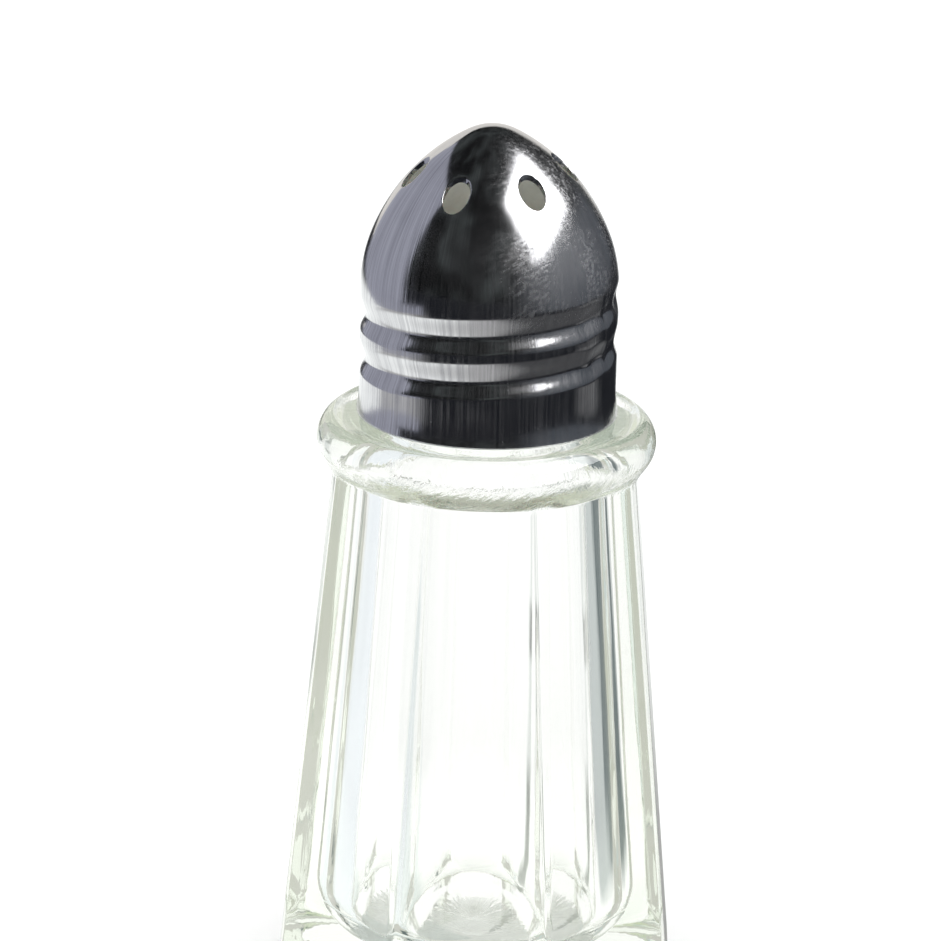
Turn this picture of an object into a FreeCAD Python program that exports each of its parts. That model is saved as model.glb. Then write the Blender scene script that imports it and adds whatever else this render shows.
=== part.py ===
import FreeCAD, Part

import math
import os

import Sketcher

# Table-top spice shaker: a pressed glass jar with flat panels, a screw-on cap of drawn
# sheet metal with a rolled thread and a ring of holes, and a thin ring on the jar's lip.
# Millimetres. The origin is at the centre of the base, the Z axis is the jar's axis, and
# one of the jar's panels faces -Y.

SIZES = {
    # cap: skirt, and dome above its brow
    "cap_radius": 15.15,
    "hem_flare": 0.35,
    "flare_height": 4.4,
    "sheet_thickness": 0.5,
    "brow_radius": 18.0,
    "brow_angle": 22.0,
    "dome_height": 19.5,
    "nose_radius": 6.4,
    "cap_turn": -24.1,
    # holes of the cap, pierced downwards in one stroke, a little off the axis
    "hole_radius": 1.7,
    "hole_ring_radius": 8.6,
    "hole_ring_offset": 1.1,
    "hole_ring_shift": 0.25,
    "hole_count": 6,
    # rolled thread, and how far the brow starts below its upper end
    "thread_pitch": 5.3,
    "groove_depth": 0.65,
    "groove_form_radius": 1.5,
    "groove_start_height": 5.9,
    "groove_start_angle": 150.0,
    "groove_turns": 1.75,
    "bead_lead_angle": 3.0,
    "brow_drop": 0.175,
    # lip washer, whose underside lies above the thread's upper end
    "seat_rise": 1.825,
    "washer_thickness": 0.8,
    "washer_bore_margin": 0.2,
    "washer_clearance": 0.05,
    "seat_clearance": 0.03,
    # jar body, a cone with panels pressed into it
    "base_radius": 26.0,
    "waist_swell": 0.5,
    "waist_height": 70.05,
    "panel_count": 8,
    "base_land_width": 0.6,
    "waist_land_width": 1.6,
    "heel_radius": 3.2,
    "push_up_depth": 1.4,
    "foot_width": 7.5,
    # neck, shelf and collar, each measured out from the one before
    "neck_clearance": 0.35,
    "shoulder_bend_radius": 1.35,
    "shelf_width": 3.2,
    "shelf_arc_radius": 5.0,
    "collar_bulge": 1.93,
    "collar_thickness": 5.95,
    "crest_rise": 0.1,
    "shoulder_rise": 2.95,
    "hem_gap": 0.5,
    "lip_rounding": 0.9,
    # glass thread of the neck
    "ridge_clearance": 0.25,
    "ridge_crest_width": 1.0,
    "ridge_root_width": 2.2,
    "ridge_sink": 0.3,
    "ridge_start_angle": -10.0,
    "ridge_turns": 1.5,
    "thread_play": 0.2,
    # inside of the jar, its waist measured down from the outer one
    "floor_height": 8.0,
    "foot_wall": 11.5,
    "floor_rounding": 5.0,
    "waist_wall": 7.5,
    "inner_waist_drop": 4.55,
    "throat_climb": 6.0,
    "neck_wall": 4.65,
    "mouth_rounding": 0.7,
    # how far cutting outlines run past the glass or metal
    "overrun": 0.3,
}

doc = FreeCAD.newDocument("spice_shaker")
sheet = doc.addObject("Spreadsheet::Sheet", "size")
for row, (name, number) in enumerate(SIZES.items(), start=1):
    sheet.set(f"A{row}", name)
    sheet.set(f"B{row}", str(number))
    sheet.setAlias(f"B{row}", name)
doc.recompute()


def value(text):
    """Number that an expression over the sheet gives."""
    return float(sheet.evalExpression(text))


def origin_feature(body, role):
    """One of the body's own origin planes or axes."""
    return next(f for f in body.Origin.OriginFeatures if f.Role == role)


def new_body(name):
    body = doc.addObject("PartDesign::Body", name)
    body.Label = name
    return body


def new_sketch(body, name, role="XZ_Plane", turn=None):
    """Sketch on an origin plane; turn rotates the upright plane about the Z axis."""
    sketch = body.newObject("Sketcher::SketchObject", name)
    sketch.AttachmentSupport = [(origin_feature(body, role), "")]
    sketch.MapMode = "FlatFace"
    if turn:
        upright = FreeCAD.Rotation(FreeCAD.Vector(0, 1, 0), value(turn))
        sketch.AttachmentOffset = FreeCAD.Placement(FreeCAD.Vector(0, 0, 0), upright)
        sketch.setExpression("AttachmentOffset.Rotation.Angle", f"{turn} * 1 deg")
    return sketch


def place_point(sketch, geometry, end, x, y):
    """Fixes one end of a curve at (x, y), both given as expressions."""
    for kind, text, axis in (("DistanceX", x, -2), ("DistanceY", y, -1)):
        if text == "0":
            sketch.addConstraint(Sketcher.Constraint("PointOnObject", geometry, end, axis))
        else:
            index = sketch.addConstraint(
                Sketcher.Constraint(kind, -1, 1, geometry, end, value(text))
            )
            sketch.setExpression(f"Constraints[{index}]", text)


def arc_between(first, second, radius, turn):
    """Short arc from first to second; turn is 1 anticlockwise, -1 clockwise."""
    chord = second - first
    middle = (first + second) / 2
    square = max(radius * radius - chord.Length * chord.Length / 4, 0)
    side = FreeCAD.Vector(-chord.y, chord.x, 0).normalize() * turn
    centre = middle + side * math.sqrt(square)
    ends = (first, second) if turn > 0 else (second, first)
    angles = [math.atan2(p.y - centre.y, p.x - centre.x) for p in ends]
    circle = Part.Circle(centre, FreeCAD.Vector(0, 0, 1), radius)
    return Part.ArcOfCircle(circle, angles[0], angles[1])


def outline(sketch, corners):
    """Closed outline. A corner is (x, y) or (x, y, radius, turn), where the last two
    make the edge from it to the next corner an arc."""
    points = [FreeCAD.Vector(value(c[0]), value(c[1]), 0) for c in corners]
    starts, ends = [], []
    for place, corner in enumerate(corners):
        first, second = points[place], points[(place + 1) % len(points)]
        if len(corner) == 2:
            starts.append((sketch.addGeometry(Part.LineSegment(first, second)), 1))
            ends.append((starts[-1][0], 2))
        else:
            arc = arc_between(first, second, value(corner[2]), corner[3])
            index = sketch.addGeometry(arc)
            starts.append((index, 1 if corner[3] > 0 else 2))
            ends.append((index, 2 if corner[3] > 0 else 1))
    for place, corner in enumerate(corners):
        before = ends[place - 1]
        here = starts[place]
        sketch.addConstraint(Sketcher.Constraint("Coincident", *before, *here))
        place_point(sketch, *here, corner[0], corner[1])
        if len(corner) == 4:
            index = sketch.addConstraint(
                Sketcher.Constraint("Radius", here[0], value(corner[2]))
            )
            sketch.setExpression(f"Constraints[{index}]", corner[2])


def ring_outline(sketch, x, y, radius):
    """Circle at (x, y)."""
    centre = FreeCAD.Vector(value(x), value(y), 0)
    circle = Part.Circle(centre, FreeCAD.Vector(0, 0, 1), value(radius))
    index = sketch.addGeometry(circle)
    place_point(sketch, index, 3, x, y)
    limit = sketch.addConstraint(Sketcher.Constraint("Radius", index, value(radius)))
    sketch.setExpression(f"Constraints[{limit}]", radius)


def turned(body, kind, name, corners):
    """Revolution or Groove of an outline drawn in the XZ plane."""
    sketch = new_sketch(body, f"{name}_outline")
    outline(sketch, corners)
    feature = body.newObject(f"PartDesign::{kind}", name)
    feature.Profile = sketch
    feature.ReferenceAxis = (sketch, ["V_Axis"])
    feature.Angle = 360
    sketch.Visibility = False
    return feature


def wound(body, kind, name, corners, turn, turns):
    """Right-hand helical ridge or groove of an outline, from the angle turn upwards."""
    sketch = new_sketch(body, f"{name}_outline", turn=turn)
    outline(sketch, corners)
    feature = body.newObject(f"PartDesign::{kind}", name)
    feature.Profile = sketch
    feature.ReferenceAxis = (sketch, ["V_Axis"])
    feature.Mode = "pitch-turns-angle"
    feature.Pitch = value("size.thread_pitch")
    feature.Turns = value(turns)
    feature.Angle = 0
    feature.setExpression("Pitch", "size.thread_pitch")
    feature.setExpression("Turns", turns)
    sketch.Visibility = False
    return feature


def circular_pattern(body, name, feature, axis, count):
    pattern = body.newObject("PartDesign::PolarPattern", name)
    pattern.Originals = [feature]
    pattern.Axis = axis
    pattern.Angle = 360
    pattern.setExpression("Occurrences", count)
    body.Tip = pattern
    return pattern


# Heights in the cap, from its lower edge
THREAD_TOP = "(size.groove_start_height + size.thread_pitch * size.groove_turns)"
BROW = f"({THREAD_TOP} - size.brow_drop)"
SEAT = f"({THREAD_TOP} + size.seat_rise)"
TIP = f"({BROW} + size.dome_height)"

# Heights of the shoulder, the cap and the lip above the base
SHOULDER = "(size.waist_height + size.shoulder_rise)"
CAP_SEAT = f"({SHOULDER} + size.hem_gap)"
LIP = f"({CAP_SEAT} + {SEAT} - size.seat_clearance)"

# Radii, from the neck inside the cap out to the body's waist, and in to the bore
NECK = "(size.cap_radius - size.sheet_thickness - size.groove_depth - size.neck_clearance)"
SHOULDER_EDGE = f"({NECK} + size.shoulder_bend_radius)"
CREST = f"({SHOULDER_EDGE} + size.shelf_width)"
WAIST = f"({CREST} + size.waist_swell)"
BORE = f"({NECK} - size.neck_wall)"


def screw_cap():
    """Drawn sheet: a skirt that flares at its hem, and a dome of three arcs, brow,
    flank and nose, each running smoothly into the next."""
    s = "size."
    brow_x = f"({s}cap_radius - {s}brow_radius)"
    sine = f"sin({s}brow_angle * 1 deg)"
    cosine = f"cos({s}brow_angle * 1 deg)"
    # end of the brow, and the same point measured from the nose's centre
    end_x = f"({brow_x} + {s}brow_radius * {cosine})"
    end_y = f"({BROW} + {s}brow_radius * {sine})"
    nose_y = f"({TIP} - {s}nose_radius)"
    reach = f"({end_x} ^ 2 + ({end_y} - {nose_y}) ^ 2)"
    along = f"({end_x} * {cosine} + ({end_y} - {nose_y}) * {sine})"
    flank = f"(({reach} - {s}nose_radius ^ 2) / 2 / ({along} - {s}nose_radius))"
    flank_x = f"({end_x} - {flank} * {cosine})"
    flank_y = f"({end_y} - {flank} * {sine})"
    # direction from the flank's centre through the nose's centre
    across = f"(-1 * {flank_x} / ({flank} - {s}nose_radius))"
    upward = f"(({nose_y} - {flank_y}) / ({flank} - {s}nose_radius))"

    def skin(inset):
        """Radii and corners of the sheet's outer face, or of its inner face."""
        brow = f"({s}brow_radius - {inset})"
        side = f"({flank} - {inset})"
        nose = f"({s}nose_radius - {inset})"
        return [
            (f"{s}cap_radius + {s}hem_flare - {inset}", "0"),
            (f"{s}cap_radius - {inset}", f"{s}flare_height"),
            (f"{s}cap_radius - {inset}", BROW, brow, 1),
            (f"{brow_x} + {brow} * {cosine}", f"{BROW} + {brow} * {sine}", side, 1),
            (f"{nose} * {across}", f"{nose_y} + {nose} * {upward}", nose, 1),
            ("0", f"{TIP} - {inset}"),
        ]

    def sheet_outline():
        outer = skin("0")
        inner = skin(f"{s}sheet_thickness")
        # the inner face is walked back down, so each arc moves to its upper corner
        back = []
        for place in range(len(inner) - 1, -1, -1):
            below = inner[place - 1] if place else None
            arc = (below[2], -1) if below and len(below) == 4 else ()
            back.append(inner[place][:2] + arc)
        return outer + back

    body = new_body("screw_cap")
    turned(body, "Revolution", "drawn_sheet", sheet_outline())

    # Rolled thread: the roller's groove outside, and its bead inside on the same centre
    centre = f"({s}cap_radius - {s}groove_depth + {s}groove_form_radius)"

    def lens(radius, face, height):
        """Slice of a circle about the roller's centre, inside the given face."""
        half = f"sqrt({radius} ^ 2 - ({centre} - {face}) ^ 2)"
        return [
            (face, f"{height} - {half}"),
            (face, f"{height} + {half}", radius, 1),
        ]

    lead = f"({s}thread_pitch * {s}bead_lead_angle / 360)"
    bead = lens(
        f"({s}groove_form_radius + {s}sheet_thickness)",
        f"({s}cap_radius - {s}sheet_thickness / 2)",
        f"({s}groove_start_height - {lead})",
    )
    groove = lens(
        f"{s}groove_form_radius",
        f"({s}cap_radius + {s}overrun)",
        f"{s}groove_start_height",
    )
    wound(
        body,
        "AdditiveHelix",
        "thread_bead",
        bead,
        f"({s}groove_start_angle - {s}bead_lead_angle)",
        f"({s}groove_turns + 2 * {s}bead_lead_angle / 360)",
    )
    wound(
        body,
        "SubtractiveHelix",
        "thread_groove",
        groove,
        f"{s}groove_start_angle",
        f"{s}groove_turns",
    )

    # Ring of holes, pierced straight down through the dome
    sketch = new_sketch(body, "hole_outline", "XY_Plane")
    sketch.setExpression("AttachmentOffset.Base.x", "size.hole_ring_shift")
    sketch.setExpression("AttachmentOffset.Base.y", "-1 * size.hole_ring_offset")
    sketch.setExpression("AttachmentOffset.Base.z", BROW)
    ring_outline(sketch, "0", "-1 * size.hole_ring_radius", "size.hole_radius")
    hole = body.newObject("PartDesign::Pocket", "hole")
    hole.Profile = sketch
    hole.Reversed = True
    hole.setExpression("Length", TIP)
    sketch.Visibility = False
    circular_pattern(body, "hole_ring", hole, (sketch, ["N_Axis"]), "size.hole_count")

    # the turn is clockwise from above, about the downward axis
    body.setExpression("Placement.Base.z", CAP_SEAT)
    down = FreeCAD.Vector(0, 0, -1)
    body.Placement.Rotation = FreeCAD.Rotation(down, -1 * value("size.cap_turn"))
    body.setExpression("Placement.Rotation.Angle", "-1 * size.cap_turn * 1 deg")
    return body


def lip_washer():
    """Thin flat ring on the lip, just inside the cap's brow and above its thread."""
    top = f"({SEAT} + size.washer_thickness)"
    inner_brow = "(size.brow_radius - size.sheet_thickness)"
    reach = (
        f"(size.cap_radius - size.brow_radius + sqrt({inner_brow} ^ 2"
        f" - ({top} - {BROW}) ^ 2) - size.washer_clearance)"
    )
    body = new_body("lip_washer")
    sketch = new_sketch(body, "ring", "XY_Plane")
    ring_outline(sketch, "0", "0", reach)
    ring_outline(sketch, "0", "0", f"{BORE} + size.washer_bore_margin")
    pad = body.newObject("PartDesign::Pad", "flat_ring")
    pad.Profile = sketch
    pad.setExpression("Length", "size.washer_thickness")
    sketch.Visibility = False
    body.setExpression("Placement.Base.z", f"{CAP_SEAT} + {SEAT}")
    return body


def glass_jar():
    s = "size."
    body = new_body("glass_jar")

    # Cone, rounded at its heel, that the panels are pressed into
    slope = f"(({s}base_radius - {WAIST}) / {s}waist_height)"
    turned(
        body,
        "Revolution",
        "cone",
        [
            ("0", "0"),
            (f"{s}base_radius - {s}heel_radius", "0", f"{s}heel_radius", 1),
            (f"{s}base_radius - {slope} * {s}heel_radius", f"{s}heel_radius"),
            (WAIST, f"{s}waist_height"),
            ("0", f"{s}waist_height"),
        ],
    )

    # One flat panel, cut so that a narrow land of the cone is left beside it
    def apothem(radius, land):
        turn = f"(180 deg / {s}panel_count - asin({land} / 2 / {radius}))"
        return f"({radius} * cos({turn}))"

    foot = apothem(f"{s}base_radius", f"{s}base_land_width")
    head = apothem(WAIST, f"{s}waist_land_width")
    clear = f"({s}base_radius + {s}overrun)"
    sketch = new_sketch(body, "panel_outline")
    outline(
        sketch,
        [
            (foot, "0"),
            (clear, "0"),
            (clear, f"{s}waist_height"),
            (head, f"{s}waist_height"),
        ],
    )
    panel = body.newObject("PartDesign::Pocket", "panel")
    panel.Profile = sketch
    panel.SideType = "Symmetric"
    panel.setExpression("Length", f"2 * {s}base_radius")
    sketch.Visibility = False
    axis = (origin_feature(body, "Z_Axis"), [""])
    circular_pattern(body, "panels", panel, axis, f"{s}panel_count")

    # Collar bead, the shelf under the cap's hem, and the neck up to its rounded lip
    low = f"({SHOULDER} + {s}crest_rise - {s}collar_thickness)"
    crest = f"({SHOULDER} + {s}crest_rise)"
    bead = f"(({s}collar_thickness ^ 2 / 4 + {s}collar_bulge ^ 2) / 2 / {s}collar_bulge)"
    bend = f"{s}shoulder_bend_radius"
    turned(
        body,
        "Revolution",
        "collar_and_neck",
        [
            ("0", low),
            (CREST, low, bead, 1),
            (CREST, crest, f"{s}shelf_arc_radius", -1),
            (SHOULDER_EDGE, SHOULDER, bend, -1),
            (NECK, f"{SHOULDER} + {bend}"),
            (NECK, f"{LIP} - {s}lip_rounding", f"{s}lip_rounding", 1),
            (f"{NECK} - {s}lip_rounding", LIP),
            ("0", LIP),
        ],
    )

    # Hollow: rounded floor, round wall, a shoulder of two arcs, bore and rounded mouth
    inner_waist = f"({s}waist_height - {s}inner_waist_drop)"
    inner_radius = f"({WAIST} - {s}waist_wall)"
    floor_radius = f"({s}base_radius - {s}foot_wall)"
    lean = f"(({floor_radius} - {inner_radius}) / ({inner_waist} - {s}floor_height))"
    step = f"({inner_radius} - {BORE})"
    sweep = f"(({step} ^ 2 + {s}throat_climb ^ 2) / 4 / {step})"
    turned(
        body,
        "Groove",
        "hollow",
        [
            ("0", f"{s}floor_height"),
            (
                f"{floor_radius} - {s}floor_rounding",
                f"{s}floor_height",
                f"{s}floor_rounding",
                1,
            ),
            (
                f"{floor_radius} - {lean} * {s}floor_rounding",
                f"{s}floor_height + {s}floor_rounding",
            ),
            (inner_radius, inner_waist, sweep, 1),
            (
                f"{inner_radius} - {step} / 2",
                f"{inner_waist} + {s}throat_climb / 2",
                sweep,
                -1,
            ),
            (BORE, f"{inner_waist} + {s}throat_climb"),
            (BORE, f"{LIP} - {s}mouth_rounding", f"{s}mouth_rounding", -1),
            (f"{BORE} + {s}mouth_rounding", LIP),
            (f"{BORE} + {s}mouth_rounding", f"{LIP} + {s}overrun"),
            ("0", f"{LIP} + {s}overrun"),
        ],
    )

    # Shallow push-up under the base
    push_up = f"({s}base_radius - {s}foot_width)"
    dome = f"(({push_up} ^ 2 + {s}push_up_depth ^ 2) / 2 / {s}push_up_depth)"
    turned(
        body,
        "Groove",
        "push_up",
        [
            ("0", "0"),
            (push_up, "0", dome, 1),
            ("0", f"{s}push_up_depth"),
        ],
    )

    # Thread ridge, lying on the upper flank of the cap's bead
    reach = f"({s}cap_radius - {s}sheet_thickness - {s}ridge_clearance)"
    roller = f"({s}cap_radius - {s}groove_depth + {s}groove_form_radius)"
    form = f"({s}groove_form_radius + {s}sheet_thickness)"
    bead_half = f"sqrt({form} ^ 2 - ({roller} - {reach}) ^ 2)"
    offset = f"({bead_half} + {s}ridge_crest_width / 2 + {s}thread_play)"
    phase = f"(({s}ridge_start_angle - {s}groove_start_angle - {s}cap_turn) / 360)"
    start = f"({CAP_SEAT} + {s}groove_start_height + {s}thread_pitch * {phase} + {offset})"
    root = f"({NECK} - {s}ridge_sink)"
    wound(
        body,
        "AdditiveHelix",
        "thread_ridge",
        [
            (root, f"{start} - {s}ridge_root_width / 2"),
            (reach, f"{start} - {s}ridge_crest_width / 2"),
            (reach, f"{start} + {s}ridge_crest_width / 2"),
            (root, f"{start} + {s}ridge_root_width / 2"),
        ],
        f"{s}ridge_start_angle",
        f"{s}ridge_turns",
    )
    return body


bodies = [glass_jar(), screw_cap(), lip_washer()]
doc.recompute()

for item in doc.Objects:
    if "Invalid" in item.State or "Error" in item.State:
        raise RuntimeError(f"{item.Name} is not valid: {item.State}")
for body in bodies:
    shape = body.Shape
    if shape.isNull() or not shape.isValid() or len(shape.Solids) != 1:
        raise RuntimeError(f"{body.Label} is not one valid solid")

os.makedirs("parts", exist_ok=True)
for body in bodies:
    body.Shape.exportStep(f"parts/{body.Label}.step")
    print(body.Label, "volume", round(body.Shape.Volume, 1), body.Shape.BoundBox)
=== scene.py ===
import math

import bpy
import numpy as np
from mathutils import Matrix, Vector


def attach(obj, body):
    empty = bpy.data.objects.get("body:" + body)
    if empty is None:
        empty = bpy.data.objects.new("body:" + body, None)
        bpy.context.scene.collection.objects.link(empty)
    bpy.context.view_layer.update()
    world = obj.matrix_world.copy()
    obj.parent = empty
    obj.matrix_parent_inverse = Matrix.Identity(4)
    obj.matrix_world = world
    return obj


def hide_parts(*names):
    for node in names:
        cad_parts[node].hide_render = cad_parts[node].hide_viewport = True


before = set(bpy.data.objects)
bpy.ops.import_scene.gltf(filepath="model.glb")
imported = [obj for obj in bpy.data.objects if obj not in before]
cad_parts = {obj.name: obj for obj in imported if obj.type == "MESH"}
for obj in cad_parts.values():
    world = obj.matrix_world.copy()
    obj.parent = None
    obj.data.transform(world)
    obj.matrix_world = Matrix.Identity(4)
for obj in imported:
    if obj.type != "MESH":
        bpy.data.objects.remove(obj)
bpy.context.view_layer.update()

# Sizes are in millimetres, and MM turns them to metres.
MM = 0.001
HEM = 73.5          # height of the cap's lower edge above the base
CAP_TURN = -24.1    # how far the cap is screwed round, in degrees
CAMERA_TURN = 1.7   # the photographer stands this far round from the front, in degrees
SEAM = 0.002        # points of a turned piece that are closer than this are one


# Modelling


def deselect():
    if bpy.context.object and bpy.context.object.mode != "OBJECT":
        bpy.ops.object.mode_set(mode="OBJECT")
    bpy.ops.object.select_all(action="DESELECT")


def pick(piece):
    deselect()
    piece.select_set(True)
    bpy.context.view_layer.objects.active = piece
    return piece


def arc(centre, radius, start, end, steps):
    """Points (radius from the axis, height) along an arc, angles in degrees."""
    angles = np.radians(np.linspace(start, end, steps + 1))
    return [
        (centre[0] + radius * math.cos(a), centre[1] + radius * math.sin(a))
        for a in angles
    ]


def draw_outline(name, points):
    """Half outline in the upright XZ plane, drawn point by point."""
    deselect()
    first = (points[0][0] * MM, 0, points[0][1] * MM)
    bpy.ops.mesh.primitive_plane_add(size=MM, location=first)
    piece = bpy.context.object
    piece.name = name
    piece.data.name = name
    bpy.ops.object.mode_set(mode="EDIT")
    bpy.ops.mesh.select_mode(type="VERT")
    bpy.ops.mesh.select_all(action="SELECT")
    bpy.ops.mesh.merge(type="CENTER")
    for before, here in zip(points, points[1:]):
        step = ((here[0] - before[0]) * MM, 0, (here[1] - before[1]) * MM)
        bpy.ops.mesh.extrude_region_move(TRANSFORM_OT_translate={"value": step})
    bpy.ops.object.mode_set(mode="OBJECT")
    bpy.ops.object.transform_apply(location=True, rotation=True, scale=True)
    return piece


def spin(piece, steps):
    """Turns the outline round the axis into a surface with its seam and poles closed."""
    pick(piece)
    bpy.ops.object.mode_set(mode="EDIT")
    bpy.ops.mesh.select_all(action="SELECT")
    bpy.ops.mesh.spin(steps=steps, angle=math.tau, center=(0, 0, 0), axis=(0, 0, 1))
    bpy.ops.mesh.select_all(action="SELECT")
    bpy.ops.mesh.remove_doubles(threshold=SEAM * MM)
    bpy.ops.mesh.normals_make_consistent(inside=False)
    bpy.ops.object.mode_set(mode="OBJECT")
    return piece


def reshape(piece, press):
    """Presses or rolls a turned piece: press takes each vertex's angle in degrees, its
    radius and its height, and gives its new angle and radius."""
    mesh = piece.data
    co = np.empty(len(mesh.vertices) * 3)
    mesh.vertices.foreach_get("co", co)
    co = co.reshape(-1, 3) / MM
    angle = np.degrees(np.arctan2(co[:, 1], co[:, 0]))
    radius = np.hypot(co[:, 0], co[:, 1])
    angle, radius = press(angle, radius, co[:, 2])
    co[:, 0] = radius * np.cos(np.radians(angle))
    co[:, 1] = radius * np.sin(np.radians(angle))
    mesh.vertices.foreach_set("co", (co * MM).ravel())
    mesh.update()


def ease(value):
    """0 to 1, easing in and out."""
    value = np.clip(value, 0.0, 1.0)
    return value * value * (3 - 2 * value)


def soft_low(first, second, blend):
    """Lower of two, rounded where they cross."""
    near = np.maximum(blend - np.abs(first - second), 0)
    return np.minimum(first, second) - near * near / (4 * blend)


def soft_high(first, second, blend):
    """Higher of two, rounded where they cross."""
    near = np.maximum(blend - np.abs(first - second), 0)
    return np.maximum(first, second) + near * near / (4 * blend)


def modifier(piece, kind, **settings):
    pick(piece)
    added = piece.modifiers.new(kind.lower(), kind)
    for name, value in settings.items():
        setattr(added, name, value)
    bpy.ops.object.modifier_apply(modifier=added.name)


def bevel_edges(piece, choose, width, segments):
    """Rounds the edges that choose(mesh, edge, its faces) picks."""
    pick(piece)
    bpy.ops.object.mode_set(mode="EDIT")
    bpy.ops.mesh.select_mode(type="EDGE")
    bpy.ops.mesh.select_all(action="DESELECT")
    bpy.ops.object.mode_set(mode="OBJECT")
    mesh = piece.data
    faces = {}
    for face in mesh.polygons:
        for key in face.edge_keys:
            faces.setdefault(key, []).append(face)
    for edge in mesh.edges:
        edge.select = bool(choose(mesh, edge, faces[edge.key]))
    bpy.ops.object.mode_set(mode="EDIT")
    bpy.ops.mesh.bevel(
        offset=width * MM,
        segments=segments,
        profile=0.5,
        affect="EDGES",
        clamp_overlap=False,
        offset_type="OFFSET",
    )
    bpy.ops.object.mode_set(mode="OBJECT")


def smooth(piece, degrees):
    pick(piece)
    bpy.ops.object.shade_smooth_by_angle(angle=math.radians(degrees))


# Screw cap

CAP_RADIUS = 15.15
SHEET = 0.5
FLARE = 0.35           # how far the hem stands out, and the height over which it does
FLARE_HEIGHT = 4.4
SKIRT_HEIGHT = 14.9
SKIRT_STEP = 0.19
BROW_END = 22.0        # angles at which the dome's three arcs meet
FLANK_END = 62.18
BROW = (-2.85, 15.0, 18.0)   # each arc's centre, across and above the hem, and radius
FLANK = (-8.0205, 12.911, 23.577)
NOSE = (0.0, 28.1, 6.4)
PITCH = 5.3
LAPS = 3
GROOVE_START = 150.0   # degrees, in the cap's own frame
GROOVE_END = 780.0
GROOVE_LOW = 5.57      # height of its deepest line above the hem where it starts
GROOVE_FADE = 52.0
GROOVE_DEPTH = 0.68
GROOVE_UPPER = 2.6     # reach of its upper flank
GROOVE_LOWER = 2.0     # reach of its lower flank
WORN_SIDE = (38.0, 104.0)   # azimuths between which knocks have bent the thread
WORN_FADE = 16.0
WORN_SHIFT = 0.12
WORN_SHALLOW = 0.45
SHIFT_WAVES = (13, 95)      # waves in a full turn, and the degrees they shift with each lap
KNOCK_WAVES = (17, 140)
HOLES = 6
HOLE_RADIUS = 1.57          # inside their rolled rims
HOLE_RING = 8.6
HOLE_RING_OFFSET = (0.25, -1.1)   # the ring of holes is punched a little off centre
HOLE_MARGIN = 0.1           # what lies this close to a hole belongs to its edge
SLIVER = 0.07               # what is smaller than this after the punch is merged
HOLE_WALLS_ABOVE = 17.0     # heights above the hem over which the holes' walls lie,
HOLE_RIMS_ABOVE = 19.0      # and their rims
UPRIGHT = 0.12              # a face with a smaller rise in its normal stands upright,
FACES_UP = 0.15             # and one with a larger rise faces up
PUNCH_LENGTH = 24.0
PUNCH_HEIGHT = 31.0         # of the punch's middle above the hem
RIM_ROUNDING = 0.13
HEM_ROUNDING = 0.16
HEM_TOUCH = 0.02            # an edge below this height lies on the hem
SHARP = 50                  # degrees by which the faces of a sharp edge differ at least
CAP_COLUMNS = 256
DOME_CENTRE = 8.0           # height above the hem from which the dome is looked at


def dome_arc(shape, start, end, steps):
    across, up, radius = shape
    return arc((across, HEM + up), radius, start, end, steps)


def cap_outline():
    """Outer face of the drawn sheet, from its hem up to the tip."""
    flare = [
        (CAP_RADIUS + FLARE * (1 - z / FLARE_HEIGHT) ** 3, HEM + z)
        for z in np.linspace(0, FLARE_HEIGHT, 15)[:-1]
    ]
    skirt = [(CAP_RADIUS, HEM + z) for z in np.arange(FLARE_HEIGHT, SKIRT_HEIGHT, SKIRT_STEP)]
    brow = dome_arc(BROW, 0, BROW_END, 32)
    flank = dome_arc(FLANK, BROW_END, FLANK_END, 38)
    nose = dome_arc(NOSE, FLANK_END, 90, 9)
    return flare + skirt + brow[:-1] + flank[:-1] + nose


def wear_wave(azimuth, lap, waves, lap_shift):
    return np.sin(np.radians(waves * azimuth + lap_shift * lap))


def roll_thread(angle, radius, height):
    """The roller presses a right-hand groove that fades out at both ends, and use has
    shifted it and made it shallower here and there on the worn side."""
    turned = np.mod(angle - CAP_TURN, 360)
    azimuth = np.mod(angle + 90 - CAMERA_TURN + 180, 360) - 180
    worn = ease((azimuth - WORN_SIDE[0]) / WORN_FADE) * ease((WORN_SIDE[1] - azimuth) / WORN_FADE)
    height = height - HEM
    depth = np.zeros_like(radius)
    for lap in range(LAPS):
        along = turned + 360 * lap
        centre = GROOVE_LOW + PITCH * (along - GROOVE_START) / 360
        centre = centre + WORN_SHIFT * worn * wear_wave(azimuth, lap, *SHIFT_WAVES)
        fade = ease((along - GROOVE_START) / GROOVE_FADE)
        fade *= ease((GROOVE_END - along) / GROOVE_FADE)
        off = height - centre
        reach = np.where(off > 0, GROOVE_UPPER, GROOVE_LOWER)
        knock = 0.5 + 0.5 * wear_wave(azimuth, lap, *KNOCK_WAVES)
        cut = GROOVE_DEPTH * ease(1 - np.abs(off) / reach) * (1 - WORN_SHALLOW * worn * knock)
        depth = np.maximum(depth, cut * fade)
    return angle, radius - depth


def hole_centres():
    turn = Matrix.Rotation(math.radians(CAP_TURN), 2)
    angles = [k * math.tau / HOLES for k in range(HOLES)]
    return [
        turn @ (Vector(HOLE_RING_OFFSET) + HOLE_RING * Vector((math.sin(a), -math.cos(a))))
        for a in angles
    ]


def near_hole(point):
    return any(
        math.hypot(point.x / MM - x, point.y / MM - y) < HOLE_RADIUS + HOLE_MARGIN
        for x, y in hole_centres()
    )


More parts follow.
